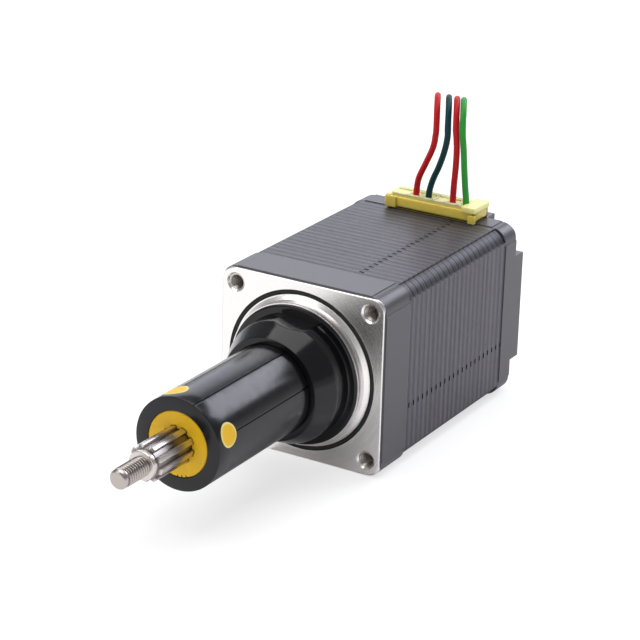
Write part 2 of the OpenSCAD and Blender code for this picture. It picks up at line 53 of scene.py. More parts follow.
def box_mm(node):
    """Lowest and highest corner of a CAD node, in millimetres."""
    low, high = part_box(node)
    return low / MM, high / MM


BELL_HIGH = box_mm("front_bell")[1]
STACK_LOW = box_mm("stator_laminations")[0]
BASE_LOW, BASE_HIGH = box_mm("sleeve_base")
SLEEVE_LOW, SLEEVE_HIGH = box_mm("guide_sleeve")
BUSHING_LOW, BUSHING_HIGH = box_mm("spline_bushing")
SHAFT_LOW, SHAFT_HIGH = box_mm("splined_shaft")
STUD_LOW, STUD_HIGH = box_mm("threaded_stud")
SCREW_LOW, SCREW_HIGH = box_mm("lead_screw")

HALF_BODY = BELL_HIGH.x
FLOOR_Z = -HALF_BODY
SLEEVE_R = SLEEVE_HIGH.x

# Sizes that the CAD boxes don't give
HOLE_HALF_SPACING = 11.5
HOLE_R = 1.25
HOLE_MOUTH_R = 1.52
HOLE_DEPTH = 3.4
HOLE_THREAD_R = 1.22
HOLE_THREAD_MINOR_R = 1.04
HOLE_THREAD_PITCH = 0.45
HOLE_THREAD_Y = 0.3
FACE_CHAMFER = 0.3
FACE_SKIN = 0.12
PLATE_T = 0.35
PLATES_PER_RIB = 4
BEAD_START = 11.9
WIRE_PITCH = 0.25
SLEEVE_BORE_R = 4.84
DARK_WEDGE_R = 4.42
DARK_WEDGE_TURNS = (-89, -81, -72)
WRENCH_HALF = 9.1
WRENCH_TURN = 83
BASE_SPIGOT_R = 6.9
BASE_FLANGE_Y = -1.9
BASE_NECK_R = 9.5
BASE_NECK_STEPS_Y = (-2.9, -3.4, -3.9, -4.4, -4.8, -5.1)
BASE_CONE_Y = -5.4
BASE_RIM_R = 10.45
BASE_RIM_Y = -2.15
COLLAR_R = 7.9
SLEEVE_STEPS_Y = (-10, -20)
LUG_COUNT = 4
LUG_R = 1.8
LUG_RIM_SHARE = 0.83
LUG_Y = -29.3
LUG_TURN = 17.5
SEAM_STEP = 49.7
SEAM_CLEAR_TURN = 1.5
SEAM_W = 0.3
SEAM_DEPTH = 0.2
SPLINE_COUNT = 9
SPLINE_TURN = 25
SPLINE_W = 0.9
SPLINE_ROOT_R = 2.28
SPLINE_TIP_R = 2.75
SPLINE_GAP = 0.05
SPLINE_CHAMFER = 0.06
BUSHING_FIT = 0.02
SPLINE_END_Y = -39.7
SHAFT_COLLAR_R = 2.15
TIP_R = 0.3
STUD_MINOR_R = 1.2
STUD_PITCH = 0.5
STUD_PLAIN_END = 0.9
SCREW_FRONT_Y = 0.6
SCREW_MINOR_R = 1.98
SCREW_PITCH = 0.635
SCREW_STARTS = 4
THREAD_SMOOTH_ANGLE = 70


# ---------------------------------------------------------------- materials

class Finish:
    """A procedural material. Its coordinates are the object's own, in millimetres."""

    def __init__(self, name, color, roughness, metallic=0.0, **sockets):
        self.material = bpy.data.materials.new(name)
        self.material.use_nodes = True
        self.tree = self.material.node_tree
        self.bsdf = self.tree.nodes["Principled BSDF"]
        self.color = color
        self.roughness = roughness
        self.normal = None
        self.set("Base Color", (*color, 1))
        self.set("Roughness", roughness)
        self.set("Metallic", metallic)
        for socket, value in sockets.items():
            self.set(socket.replace("_", " "), value)
        place = self.add("TexCoord")
        scale = self.add("VectorMath", operation="SCALE")
        scale.inputs["Scale"].default_value = 1 / MM
        self.feed(scale.inputs[0], place.outputs["Object"])
        self.mm = scale.outputs[0]
        axes = self.add("SeparateXYZ")
        self.feed(axes.inputs[0], self.mm)
        self.x, self.y, self.z = axes.outputs

    def set(self, socket, value):
        self.feed(self.bsdf.inputs[socket], value)

    def add(self, kind, **settings):
        node = self.tree.nodes.new("ShaderNode" + kind)
        for name, value in settings.items():
            setattr(node, name, value)
        return node

    def feed(self, socket, value):
        if isinstance(value, bpy.types.NodeSocket):
            self.tree.links.new(value, socket)
        else:
            socket.default_value = value

    def math(self, operation, *values):
        node = self.add("Math", operation=operation)
        for socket, value in zip(node.inputs, values):
            self.feed(socket, value)
        return node.outputs[0]

    def noise(self, scale, detail=3.0, stretch=(1, 1, 1), rough=0.5):
        """Noise with about scale features a millimetre, stretched along the axes."""
        squeeze = self.add("VectorMath", operation="MULTIPLY")
        self.feed(squeeze.inputs[0], self.mm)
        squeeze.inputs[1].default_value = stretch
        node = self.add("TexNoise")
        self.feed(node.inputs["Vector"], squeeze.outputs[0])
        node.inputs["Scale"].default_value = scale
        node.inputs["Detail"].default_value = detail
        node.inputs["Roughness"].default_value = rough
        return node.outputs["Fac"]

    def line_noise(self, coordinate, scale, detail=2.0):
        """Noise that changes along one coordinate only."""
        node = self.add("TexNoise", noise_dimensions="1D")
        self.feed(node.inputs["W"], coordinate)
        node.inputs["Scale"].default_value = scale
        node.inputs["Detail"].default_value = detail
        return node.outputs["Fac"]

    def remap(self, value, low, high, new_low, new_high):
        """The value, moved from one range to another and held inside it."""
        node = self.add("MapRange")
        self.feed(node.inputs["Value"], value)
        for name, number in (
            ("From Min", low), ("From Max", high), ("To Min", new_low), ("To Max", new_high)
        ):
            self.feed(node.inputs[name], number)
        return node.outputs["Result"]

    def mix(self, factor, first, second):
        """A colour between first and second."""
        node = self.add("Mix", data_type="RGBA")
        self.feed(node.inputs["Factor"], factor)
        for socket, value in ((node.inputs[6], first), (node.inputs[7], second)):
            self.feed(socket, value if isinstance(value, bpy.types.NodeSocket) else (*value, 1))
        return node.outputs[2]

    def distance(self, across, up):
        """Length of the step that goes across and up."""
        squares = self.math("ADD", self.math("POWER", across, 2.0), self.math("POWER", up, 2.0))
        return self.math("SQRT", squares)

    def shaft_radius(self):
        """Distance from the shaft axis."""
        return self.distance(self.x, self.z)

    def round_edges(self, radius):
        """Rounds sharp edges in the shading by a small radius."""
        node = self.add("Bevel", samples=4)
        node.inputs["Radius"].default_value = radius * MM
        self.normal = node.outputs["Normal"]
        self.set("Normal", self.normal)

    def bump(self, height, distance, strength):
        """Adds relief to the shading. The distance is in millimetres."""
        node = self.add("Bump")
        node.inputs["Strength"].default_value = strength
        node.inputs["Distance"].default_value = distance * MM
        self.feed(node.inputs["Height"], height)
        if self.normal is not None:
            self.feed(node.inputs["Normal"], self.normal)
        self.normal = node.outputs["Normal"]
        self.set("Normal", self.normal)

    def vary_color(self, factor, amount):
        """Darkens and lightens the base colour by amount along a 0 to 1 factor."""
        dark = [c * (1 - amount) for c in self.color]
        light = [min(1, c * (1 + amount)) for c in self.color]
        self.set("Base Color", self.mix(factor, dark, light))

    def vary_roughness(self, factor, amount):
        """Makes the surface glossier and duller by amount along a 0 to 1 factor."""
        low = max(0.02, self.roughness - amount)
        self.set("Roughness", self.remap(factor, 0.3, 0.7, low, self.roughness + amount))


def bell_finish():
    """Satin black coating. The front face, pilot and tapped holes are bare turned metal."""
    paint = (0.052, 0.05, 0.057)
    metal = (0.88, 0.85, 0.83)
    f = Finish("bell_coating", paint, 0.36)
    f.round_edges(0.12)
    grain = f.noise(9, 4)
    turning = f.line_noise(f.shaft_radius(), 3)
    # The bare face ends at its edge, but it takes in the chamfer on the left and below.
    off_paint = f.math("LESS_THAN", f.math("MAXIMUM", f.x, f.z), HALF_BODY - FACE_CHAMFER)
    chamfer = f.math("MULTIPLY", off_paint, f.math("LESS_THAN", f.y, FACE_CHAMFER + 0.05))
    face = f.math("MAXIMUM", chamfer, f.math("LESS_THAN", f.y, FACE_SKIN))
    across = f.math("SUBTRACT", f.math("ABSOLUTE", f.x), HOLE_HALF_SPACING)
    up = f.math("SUBTRACT", f.math("ABSOLUTE", f.z), HOLE_HALF_SPACING)
    in_hole = f.math("LESS_THAN", f.distance(across, up), HOLE_MOUTH_R)
    near_front = f.math("LESS_THAN", f.y, HOLE_DEPTH)
    bare = f.math("MAXIMUM", face, f.math("MULTIPLY", in_hole, near_front))
    speckled_paint = f.mix(grain, [c * 0.85 for c in paint], [c * 1.25 for c in paint])
    turned_metal = f.mix(turning, [c * 0.99 for c in metal], metal)
    f.set("Base Color", f.mix(bare, speckled_paint, turned_metal))
    f.set("Metallic", bare)
    paint_rough = f.remap(grain, 0.3, 0.7, 0.3, 0.42)
    metal_rough = f.remap(turning, 0.3, 0.7, 0.265, 0.275)
    rough = f.add("Mix", data_type="FLOAT")
    f.feed(rough.inputs[0], bare)
    f.feed(rough.inputs[2], paint_rough)
    f.feed(rough.inputs[3], metal_rough)
    f.set("Roughness", rough.outputs[0])
    f.bump(f.math("MULTIPLY", grain, f.math("SUBTRACT", 1.0, bare)), 0.012, 0.6)
    return f.material


def lamination_finish():
    """Blued steel plates seen edge on: bands of four plates, with dark joints between plates."""
    f = Finish("lamination_stack", (0.085, 0.088, 0.1), 0.42, 0.75)
    f.round_edges(0.05)
    along = f.math("DIVIDE", f.math("SUBTRACT", f.y, STACK_LOW.y), PLATE_T)
    plate = f.math("FLOOR", along)
    tone = f.add("TexWhiteNoise", noise_dimensions="1D")
    f.feed(tone.inputs["W"], plate)
    within = f.math("FRACT", along)
    centred = f.math("ABSOLUTE", f.math("SUBTRACT", within, 0.5))
    joint = f.remap(centred, 0.3, 0.5, 0.0, 1.0)
    group = f.math("FRACT", f.math("MULTIPLY", along, 1 / PLATES_PER_RIB))
    crest = f.math("ABSOLUTE", f.math("SUBTRACT", group, 0.5))
    pair = f.remap(crest, 0.12, 0.38, 0.0, 1.0)
    streaks = f.noise(0.9, 4, stretch=(1, 7, 1), rough=0.6)
    cloud = f.noise(0.25, 3)
    mixed = f.math(
        "ADD", f.math("MULTIPLY", tone.outputs["Value"], 0.25), f.math("MULTIPLY", streaks, 0.3)
    )
    paired = f.math("ADD", mixed, f.math("MULTIPLY", pair, 0.55))
    base = f.mix(paired, (0.03, 0.029, 0.036), (0.165, 0.16, 0.18))
    clouded = f.mix(f.remap(cloud, 0.35, 0.7, 0.0, 0.4), base, (0.1, 0.095, 0.1))
    # A shallow dip after every fourth plate at the round corner beads, bumped and also painted
    # darker as painted shade
    beads = f.math("MINIMUM", f.math("ABSOLUTE", f.x), f.math("ABSOLUTE", f.z))
    on_bead = f.math("GREATER_THAN", beads, BEAD_START)
    rib = f.math("MULTIPLY", on_bead, f.remap(crest, 0.22, 0.42, 0.0, 1.0))
    # Painted shade: the bead dips are coloured darker; the dark joints between plates are the
    # plates' own colour.
    dark_joints_and_dip_shade = f.math("MAXIMUM", f.math("MULTIPLY", joint, 0.6), f.math("MULTIPLY", rib, 0.85))
    f.set("Base Color", f.mix(dark_joints_and_dip_shade, clouded, (0.015, 0.015, 0.018)))
    f.vary_roughness(streaks, 0.08)
    f.bump(f.math("SUBTRACT", 1.0, f.math("MAXIMUM", joint, rib)), 0.05, 0.8)
    f.bump(streaks, 0.006, 0.4)
    return f.material


def base_finish():
    """Black moulded plastic with a soft gloss."""
    f = Finish("base_moulding", (0.004, 0.004, 0.005), 0.14, Specular_IOR_Level=0.38)
    grain = f.noise(5, 3)
    f.vary_color(grain, 0.3)
    f.vary_roughness(f.noise(1.5, 3), 0.05)
    f.bump(grain, 0.006, 0.5)
    return f.material


def sleeve_finish():
    """Glossy black tube with a faint waviness and fine lengthwise draw lines."""
    f = Finish("sleeve_gloss", (0.005, 0.005, 0.0065), 0.22, Specular_IOR_Level=0.38)
    draw = f.noise(3, 3, stretch=(1, 0.06, 1))
    speck = f.noise(14, 2)
    f.vary_color(draw, 0.25)
    f.vary_roughness(f.noise(0.8, 3), 0.04)
    f.bump(draw, 0.006, 0.4)
    f.bump(speck, 0.002, 0.3)
    return f.material


def moulded_finish(name, color, roughness, scatter=0.0, grain_scale=4.0):
    """Moulded plastic: faint flow marks in the colour and a fine skin."""
    f = Finish(name, color, roughness, Specular_IOR_Level=0.35)
    if scatter:
        f.set("Subsurface Weight", scatter)
        f.set("Subsurface Radius", (1.0, 0.7, 0.3))
        f.set("Subsurface Scale", 0.8 * MM)
    flow = f.noise(0.5, 4, stretch=(1, 0.4, 1))
    skin = f.noise(grain_scale, 3)
    f.vary_color(flow, 0.1)
    f.vary_roughness(skin, 0.07)
    f.bump(skin, 0.008, 0.5)
    return f.material


def metal_finish(name, color, roughness, stretch=(1, 1, 1), scale=6.0, lines=0.002):
    """Bare metal with fine tool marks along the stretched axis."""
    f = Finish(name, color, roughness, 1.0)
    marks = f.noise(scale, 4, stretch=stretch, rough=0.6)
    stain = f.noise(0.6, 3)
    dark = [c * 0.8 for c in color]
    f.set("Base Color", f.mix(f.math("MULTIPLY", marks, stain), color, dark))
    f.vary_roughness(marks, 0.05)
    f.bump(marks, lines, 0.4)
    return f.material


def grooved_finish(name, color, minor, major, plain_y, root_shade_tone=0.12):
    """Bare metal of a thread or splines on the shaft axis: roots painted darker as painted shade,
    plain before plain_y.
    """
    f = Finish(name, color, 0.28, 1.0)
    crest = f.remap(f.shaft_radius(), minor, major - 0.04, 0.0, 1.0)
    crest = f.math("MAXIMUM", crest, f.math("LESS_THAN", f.y, plain_y))
    # Painted shade: the thread and spline roots are coloured darker than the crests.
    shaded = f.mix(crest, [c * root_shade_tone for c in color], color)
    marks = f.noise(3, 2, stretch=(1, 0.05, 1))
    f.set("Base Color", f.mix(f.math("MULTIPLY", marks, 0.2), shaded, [c * 0.6 for c in color]))
    f.vary_roughness(marks, 0.04)
    f.bump(marks, 0.0006, 0.3)
    return f.material


def turned_finish(name, color, roughness):
    """Metal turned round the shaft axis: fine rings on the faces and along the length."""
    f = Finish(name, color, roughness, 1.0)
    rings = f.line_noise(f.shaft_radius(), 8, 3)
    bands = f.line_noise(f.y, 8, 3)
    marks = f.math("MULTIPLY", f.math("ADD", rings, bands), 0.5)
    f.set("Base Color", f.mix(marks, [c * 0.85 for c in color], color))
    f.vary_roughness(marks, 0.08)
    f.bump(marks, 0.006, 0.5)
    return f.material


def insulation_finish(name, color):
    """Soft insulation of a lead: a slight sheen, faint handling marks and ripples."""
    f = Finish(name, color, 0.45, Specular_IOR_Level=0.2)
    ripple = f.noise(1.6, 2, stretch=(1, 1, 1.6))
    f.vary_color(ripple, 0.14)
    f.vary_roughness(f.noise(3, 3), 0.08)
    f.bump(ripple, 0.02, 0.35)
    return f.material


def copper_finish():
    """Enamelled wire: turns side by side under a clear coat."""
    f = Finish("enamelled_copper", (0.62, 0.24, 0.1), 0.3, 0.9, Coat_Weight=0.6)
    turns = f.math("FRACT", f.math("MULTIPLY", f.shaft_radius(), 1 / WIRE_PITCH))
    round_top = f.math("ABSOLUTE", f.math("SUBTRACT", turns, 0.5))
    f.vary_color(f.noise(2, 3), 0.25)
    f.vary_roughness(f.noise(1, 2), 0.06)
    f.bump(f.math("SUBTRACT", 0.5, round_top), 0.12, 0.8)
    return f.material


def board_finish():
    """Green laminate with a woven ground and tracks in a lighter tone."""
    f = Finish("board_laminate", (0.02, 0.16, 0.06), 0.35, Coat_Weight=0.4)
    weave = f.noise(6, 2)
    tracks = f.remap(f.noise(0.9, 0), 0.49, 0.51, 0.0, 1.0)
    ground = f.mix(weave, (0.012, 0.11, 0.04), (0.02, 0.17, 0.065))
    f.set("Base Color", f.mix(f.math("MULTIPLY", tracks, 0.5), ground, (0.05, 0.3, 0.12)))
    f.vary_roughness(weave, 0.06)
    f.bump(tracks, 0.02, 0.5)
    return f.material


def floor_finish():
    """Pale matt ground, lit a little from below as on a light table."""
    f = Finish("pale_floor", (0.42, 0.42, 0.42), 0.9, Specular_IOR_Level=0.1)
    f.set("Emission Color", (1, 1, 1, 1))
    f.set("Emission Strength", 0.66)
    f.vary_color(f.noise(0.01, 2), 0.005)
    return f.material


STEEL = (0.62, 0.61, 0.59)
BRIGHT = (0.78, 0.78, 0.79)

MATERIALS = {
    "black_bell": bell_finish(),
    "lamination_steel": lamination_finish(),
    "black_base": base_finish(),
    "black_sleeve": sleeve_finish(),
    "yellow_bushing": moulded_finish("bushing_moulding", (0.78, 0.46, 0.006), 0.5, 0.1),
    "connector_plastic": moulded_finish("header_moulding", (0.86, 0.65, 0.12), 0.3, 0.6),
    "plug_plastic": moulded_finish("plug_moulding", (0.94, 0.84, 0.37), 0.34, 0.6),
    "seal_rubber": moulded_finish("seal_rubber", (0.012, 0.012, 0.012), 0.6, 0, 12),
    "insulator_plastic": moulded_finish("insulator_nylon", (0.78, 0.72, 0.58), 0.45, 0.3),
    "nut_plastic": moulded_finish("nut_acetal", (0.82, 0.8, 0.72), 0.4, 0.3),
    "cage_plastic": moulded_finish("cage_nylon", (0.6, 0.42, 0.16), 0.45, 0.2),
    "tie_plastic": moulded_finish("tie_nylon", (0.36, 0.35, 0.31), 0.4, 0.3),
    "shaft_steel": grooved_finish(
        "shaft_steel", (0.68, 0.63, 0.6), SPLINE_ROOT_R, SPLINE_TIP_R, SPLINE_END_Y, 0.3
    ),
    "screw_steel": metal_finish("screw_zinc", (0.3, 0.29, 0.29), 0.32, (1, 1, 1), 4),
    "spring_steel": metal_finish("spring_steel", STEEL, 0.35, (1, 1, 1), 5),
    "pin_metal": metal_finish("pin_tin", (0.8, 0.66, 0.36), 0.28, (1, 1, 0.2), 8),
    "terminal_metal": metal_finish("terminal_tin", BRIGHT, 0.35, (1, 1, 0.2), 8),
    "rotor_steel": turned_finish("rotor_steel", (0.35, 0.35, 0.37), 0.4),
    "magnet": turned_finish("magnet_plating", (0.5, 0.5, 0.52), 0.25),
    "hub_steel": turned_finish("hub_steel", STEEL, 0.28),
    "stop_steel": turned_finish("stop_oxide", (0.12, 0.12, 0.13), 0.4),
    "bearing_steel": turned_finish("race_steel", BRIGHT, 0.15),
    "ball_steel": metal_finish("ball_steel", BRIGHT, 0.08, (1, 1, 1), 2, 0.001),
    "copper": copper_finish(),
    "board_laminate": board_finish(),
    "lead_red": insulation_finish("insulation_red", (0.52, 0.008, 0.012)),
    "lead_teal": insulation_finish("insulation_teal", (0.002, 0.045, 0.05)),
    "lead_green": insulation_finish("insulation_green", (0.03, 0.3, 0.04)),
}
MATERIALS["lead_bundle"] = MATERIALS["lead_red"]
# Darker metal for the threads in the mounting holes than for the bare face: painted shade inside
# the holes.
HOLE_SHADE_METAL = metal_finish("hole_metal_shaded", (0.62, 0.58, 0.54), 0.28)
STUD_METAL = grooved_finish(
    "stud_steel", (0.5, 0.45, 0.42), STUD_MINOR_R, STUD_HIGH.x, STUD_LOW.y + STUD_PLAIN_END
)
SCREW_METAL = grooved_finish(
    "screw_steel", (0.6, 0.57, 0.54), SCREW_MINOR_R, SCREW_HIGH.x, SCREW_LOW.y
)
# Paler yellow for the lug rims: a painted highlight of light caught on the rim.
LUG_RIM_HIGHLIGHT = moulded_finish("lug_rim_highlight", (0.74, 0.62, 0.2), 0.5, 0.1)


# ---------------------------------------------------------------- mesh helpers

def add_object(name, data):
    obj = bpy.data.objects.new(name, data)
    bpy.context.scene.collection.objects.link(obj)
    return obj


def add_piece(name, data, slot, body, replaced=()):
    """A piece with the finish of a slot, which rides on a body and stands for CAD nodes."""
    obj = add_object(name, data)
    data.materials.append(MATERIALS[slot])
    if replaced:
        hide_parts(*replaced)
    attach(obj, body)
    return obj


def smooth_to(mesh, degrees):
    """Smooth shading, with sharp edges where faces meet at more than an angle."""
    mesh.shade_smooth()
    mesh.set_sharp_from_angle(angle=math.radians(degrees))


def new_piece(name, points, faces, slot, body, replaced=(), smooth_angle=35):
    """A mesh piece from points in millimetres, riding on a body."""
    mesh = bpy.data.meshes.new(name)
    mesh.from_pydata([Vector(p) * MM for p in points], [], faces)
    mesh.validate()
    b = bmesh.new()
    b.from_mesh(mesh)
    bmesh.ops.remove_doubles(b, verts=b.verts, dist=0.0005 * MM)
    bmesh.ops.recalc_face_normals(b, faces=b.faces)
    b.to_mesh(mesh)
    b.free()
    smooth_to(mesh, smooth_angle)
    return add_piece(name, mesh, slot, body, replaced)


def on_axis(radius, turn, y):
    """A point at an angle in degrees from +X towards +Z, at a radius from the shaft axis."""
    angle = math.radians(turn)
    return (radius * math.cos(angle), y, radius * math.sin(angle))


def skin_rings(rings, closed=False):
    """Points and faces of a skin over rings that have the same number of points."""
    count = len(rings[0])
    points = [p for ring in rings for p in ring]
    faces = []
    for i in range(len(rings) if closed else len(rings) - 1):
        start = i * count
        after = (i + 1) % len(rings) * count
        for k in range(count):
            next_k = (k + 1) % count
            faces.append((start + k, start + next_k, after + next_k, after + k))
    if not closed:
        faces.append(tuple(range(count)))
        end = (len(rings) - 1) * count
        faces.append(tuple(end + k for k in reversed(range(count))))
    return points, faces


def turned_rings(profile, turns):
    """Rings of a lathe profile. A profile point is (radius, y), or (function of the turn, y)."""
    rings = []
    for radius, y in profile:
        ring = [on_axis(radius(t) if callable(radius) else radius, t, y) for t in turns]
        rings.append(ring)
    return rings


def even_turns(count):
    """Angles in degrees, spaced evenly round the axis."""
    return [360 * i / count for i in range(count)]


# ---------------------------------------------------------------- sleeve and base

def with_flats(radius):
    """Radius of a round section that the two wrench flats cut back, eased where they meet."""
    ease = 0.04

    def cut(turn):
        across = math.cos(math.radians(turn - WRENCH_TURN))
        flat = WRENCH_HALF / max(abs(across), 0.2)
        gap = flat - radius
        return (flat + radius - math.sqrt(gap * gap + ease * ease)) / 2
    return cut


def sleeve_base():
    """Spigot, flange, neck with two wrench flats, cone and collar, turned in one piece."""
    flange_r = BASE_HIGH.x
    profile = [
        (BASE_SPIGOT_R, BASE_HIGH.y), (BASE_SPIGOT_R, BASE_FLANGE_Y), (flange_r, BASE_FLANGE_Y),
        (flange_r - 0.02, BASE_FLANGE_Y - 0.08), (BASE_RIM_R + 0.08, BASE_RIM_Y + 0.01),
        (BASE_RIM_R - 0.05, BASE_RIM_Y),
    ]
    foot = BASE_RIM_Y + 0.02
    for out, up in ((0.3, 0), (0.12, 0.05), (0.03, 0.16), (0, 0.3)):
        profile.append((with_flats(BASE_NECK_R + out), foot - up))
    for y in BASE_NECK_STEPS_Y:
        profile.append((with_flats(BASE_NECK_R), y))
    cone_length = BASE_CONE_Y - BASE_LOW.y
    slope = (COLLAR_R - BASE_NECK_R) / cone_length
    profile.append((with_flats(BASE_NECK_R - 0.01), BASE_CONE_Y + 0.08))
    profile.append((with_flats(BASE_NECK_R - 0.05), BASE_CONE_Y - 0.04))
    steps = 20
    for i in range(1, steps):
        back = cone_length * i / steps
        profile.append((with_flats(BASE_NECK_R + slope * back), BASE_CONE_Y - back))
    profile += [
        (COLLAR_R + 0.03, BASE_LOW.y + 0.1), (COLLAR_R - 0.02, BASE_LOW.y + 0.02),
        (COLLAR_R - 0.1, BASE_LOW.y), (SLEEVE_R + 0.1, BASE_LOW.y),
        (SLEEVE_R + 0.02, BASE_LOW.y + 0.08), (SLEEVE_R + 0.01, SLEEVE_HIGH.y),
        (SLEEVE_BORE_R, SLEEVE_HIGH.y), (SLEEVE_BORE_R, BASE_HIGH.y),
    ]
    points, faces = skin_rings(turned_rings(profile, even_turns(360)), closed=True)
    new_piece("base_with_flats", points, faces, "black_base", "root", ["sleeve_base"], 30)


def lug_turn(i):
    return LUG_TURN + 360 / LUG_COUNT * i


def turn_between(a, b):
    """Angle between two directions, from 0 to 180 degrees."""
    return abs((a - b + 180) % 360 - 180)


def sleeve_turns():
    """Angles round the sleeve: even ones, and the corners of the six seams."""
    half = math.degrees(SEAM_W / 2 / SLEEVE_R)
    seams = [lug_turn(i) for i in range(LUG_COUNT)]
    seams += [seams[0] + SEAM_STEP, seams[2] + SEAM_STEP]
    turns = [t for t in even_turns(180) if all(turn_between(t, s) > SEAM_CLEAR_TURN for s in seams)]
    for s in seams:
        turns += [(s + offset * half) % 360 for offset in (-1.25, -1, -0.55, 0.55, 1, 1.25)]
    return sorted(turns), seams, half


def guide_sleeve():
    """Tube with lengthwise seams: one behind each lug, and two that run to the front end."""
    turns, seams, half = sleeve_turns()
    front, rear = SLEEVE_LOW.y, SLEEVE_HIGH.y

    def outer(y):
        cut = [s for i, s in enumerate(seams) if i >= LUG_COUNT or y > LUG_Y]

        def radius(turn):
            in_seam = any(turn_between(turn, s) < 0.8 * half for s in cut)
            return SLEEVE_R - SEAM_DEPTH if in_seam else SLEEVE_R
        return radius

    ease = 0.14
    profile = [(SLEEVE_BORE_R, rear), (outer(rear), rear)]
    for y in (*SLEEVE_STEPS_Y, LUG_Y + 0.01, LUG_Y - 0.01, front + ease):
        profile.append((outer(y), y))
    profile += [
        (SLEEVE_R - 0.3 * ease, front + 0.3 * ease), (SLEEVE_R - ease, front),
        (SLEEVE_BORE_R + 0.1, front), (SLEEVE_BORE_R, front + 0.1),
    ]
    points, faces = skin_rings(turned_rings(profile, turns), closed=True)
    new_piece("sleeve_tube", points, faces, "black_sleeve", "root", ["guide_sleeve"])


def spline_loop(gap, y):
    """One ring of the spline outline, grown by gap. Arcs and spline tips have even points."""
    root, tip = SPLINE_ROOT_R + gap, SPLINE_TIP_R + gap
    half = SPLINE_W / 2 + gap
    root_half = math.degrees(math.asin(half / root))
    tip_half = math.degrees(math.asin(half / tip))
    pitch = 360 / SPLINE_COUNT
    corner = tip - SPLINE_CHAMFER
    loop = []
    for i in range(SPLINE_COUNT):
        mid = SPLINE_TURN + i * pitch
        loop.append(on_axis(root, mid - root_half, y))
        loop.append(on_axis(corner, mid - tip_half, y))
        for share in (-0.82, -0.4, 0, 0.4, 0.82):
            loop.append(on_axis(tip, mid + share * tip_half, y))
        loop.append(on_axis(corner, mid + tip_half, y))
        loop.append(on_axis(root, mid + root_half, y))
        for share in (0.25, 0.5, 0.75):
            turn = mid + root_half + share * (pitch - 2 * root_half)
            loop.append(on_axis(root, turn, y))
    return loop


def turn_of(point):
    """Angle of a point round the shaft axis, in degrees."""
    return math.degrees(math.atan2(point[2], point[0]))


def ring_like(loop, radius, y):
    """A round ring whose points stand at the same angles as the loop's."""
    return [on_axis(radius, turn_of(p), y) for p in loop]


def at_y(loop, y):
    """The loop, moved along the shaft axis."""
    return [(p[0], y, p[2]) for p in loop]


def spline_bushing():
    """Round bushing with a splined bore and a small chamfer at the mouth."""
    front, rear = BUSHING_LOW.y, BUSHING_HIGH.y
    mouth = 0.08
    ease = 0.12
    outer_r = SLEEVE_BORE_R - BUSHING_FIT
    loop = spline_loop(SPLINE_GAP, front)
    rings = [
        at_y(loop, front + mouth), spline_loop(SPLINE_GAP + mouth, front),
        ring_like(loop, outer_r - ease, front), ring_like(loop, outer_r, front + ease),
        ring_like(loop, outer_r, rear), at_y(loop, rear),
    ]
    points, faces = skin_rings(rings, closed=True)
    new_piece("bushing_body", points, faces, "yellow_bushing", "root", ["spline_bushing"])


def lug_ring(radius, depth, turn):
    """A ring round a lug, bent to lie at a depth from the shaft axis."""
    ring = []
    for a in even_turns(48):
        around = radius * math.cos(math.radians(a))
        bend = math.degrees(math.asin(around / depth))
        ring.append(on_axis(depth, turn + bend, LUG_Y + radius * math.sin(math.radians(a))))
    return ring


def paint_lug_rim_highlight(mesh, turn):
    """Gives the faces near a lug's edge the paler finish, a painted highlight round the rim."""
    mesh.materials.append(LUG_RIM_HIGHLIGHT)
    out = Vector(on_axis(1, turn, 0))
    for face in mesh.polygons:
        centre = face.center / MM
        along = centre.y - LUG_Y
        across = centre - out * centre.dot(out) - Vector((0, centre.y, 0))
        if math.hypot(along, across.length) > LUG_R * LUG_RIM_SHARE:
            face.material_index = 1


def bushing_lugs():
    """Round lugs that stand in the sleeve's wall, their caps following its curve."""
    cap = SLEEVE_R + 0.03
    steps = (
        (LUG_R, SLEEVE_BORE_R - 0.1), (LUG_R, SLEEVE_R - 0.06),
        (LUG_R - 0.04, SLEEVE_R + 0.015), (LUG_R - 0.14, SLEEVE_R + 0.035),
        (LUG_R * 0.82, cap), (LUG_R * 0.45, cap), (LUG_R * 0.18, cap),
    )
    for i in range(LUG_COUNT):
        turn = lug_turn(i)
        points, faces = skin_rings([lug_ring(radius, depth, turn) for radius, depth in steps])
        lug = new_piece(f"bushing_lug_{i + 1}", points, faces, "yellow_bushing", "root", (), 50)
        paint_lug_rim_highlight(lug.data, turn)


def rim_dark_wedges():
    """Small dark wedges at the lower rim of the bushing's face."""
    front = SLEEVE_LOW.y
    for i, turn in enumerate(DARK_WEDGE_TURNS):
        corners = [(SLEEVE_BORE_R, turn - 2), (SLEEVE_BORE_R, turn + 2), (DARK_WEDGE_R, turn + 0.5)]
        points = [on_axis(r, t, y) for y in (front - 0.01, front + 0.3) for r, t in corners]
        faces = [(0, 1, 2), (3, 5, 4), (0, 3, 4, 1), (1, 4, 5, 2), (2, 5, 3, 0)]
        new_piece(f"rim_dark_wedge_{i + 1}", points, faces, "black_sleeve", "root")


# ---------------------------------------------------------------- threads and plunger

def threaded_rings(major, minor, pitch, starts, y0, y1, per_turn=48, per_pitch=8):
    """Rings of a right-hand thread along the shaft axis, from y0 to y1."""
    steps = max(2, round((y1 - y0) / (pitch / per_pitch)))
    rings = []
    for j in range(steps + 1):
        y = y0 + (y1 - y0) * j / steps
        ring = []
        for turn in even_turns(per_turn):
            phase = (-y / pitch - starts * turn / 360) % 1
            height = min(1, max(0, 1.12 - abs(phase - 0.5) * 2.3))
            ring.append(on_axis(minor + (major - minor) * height, turn, y))
        rings.append(ring)
    return rings


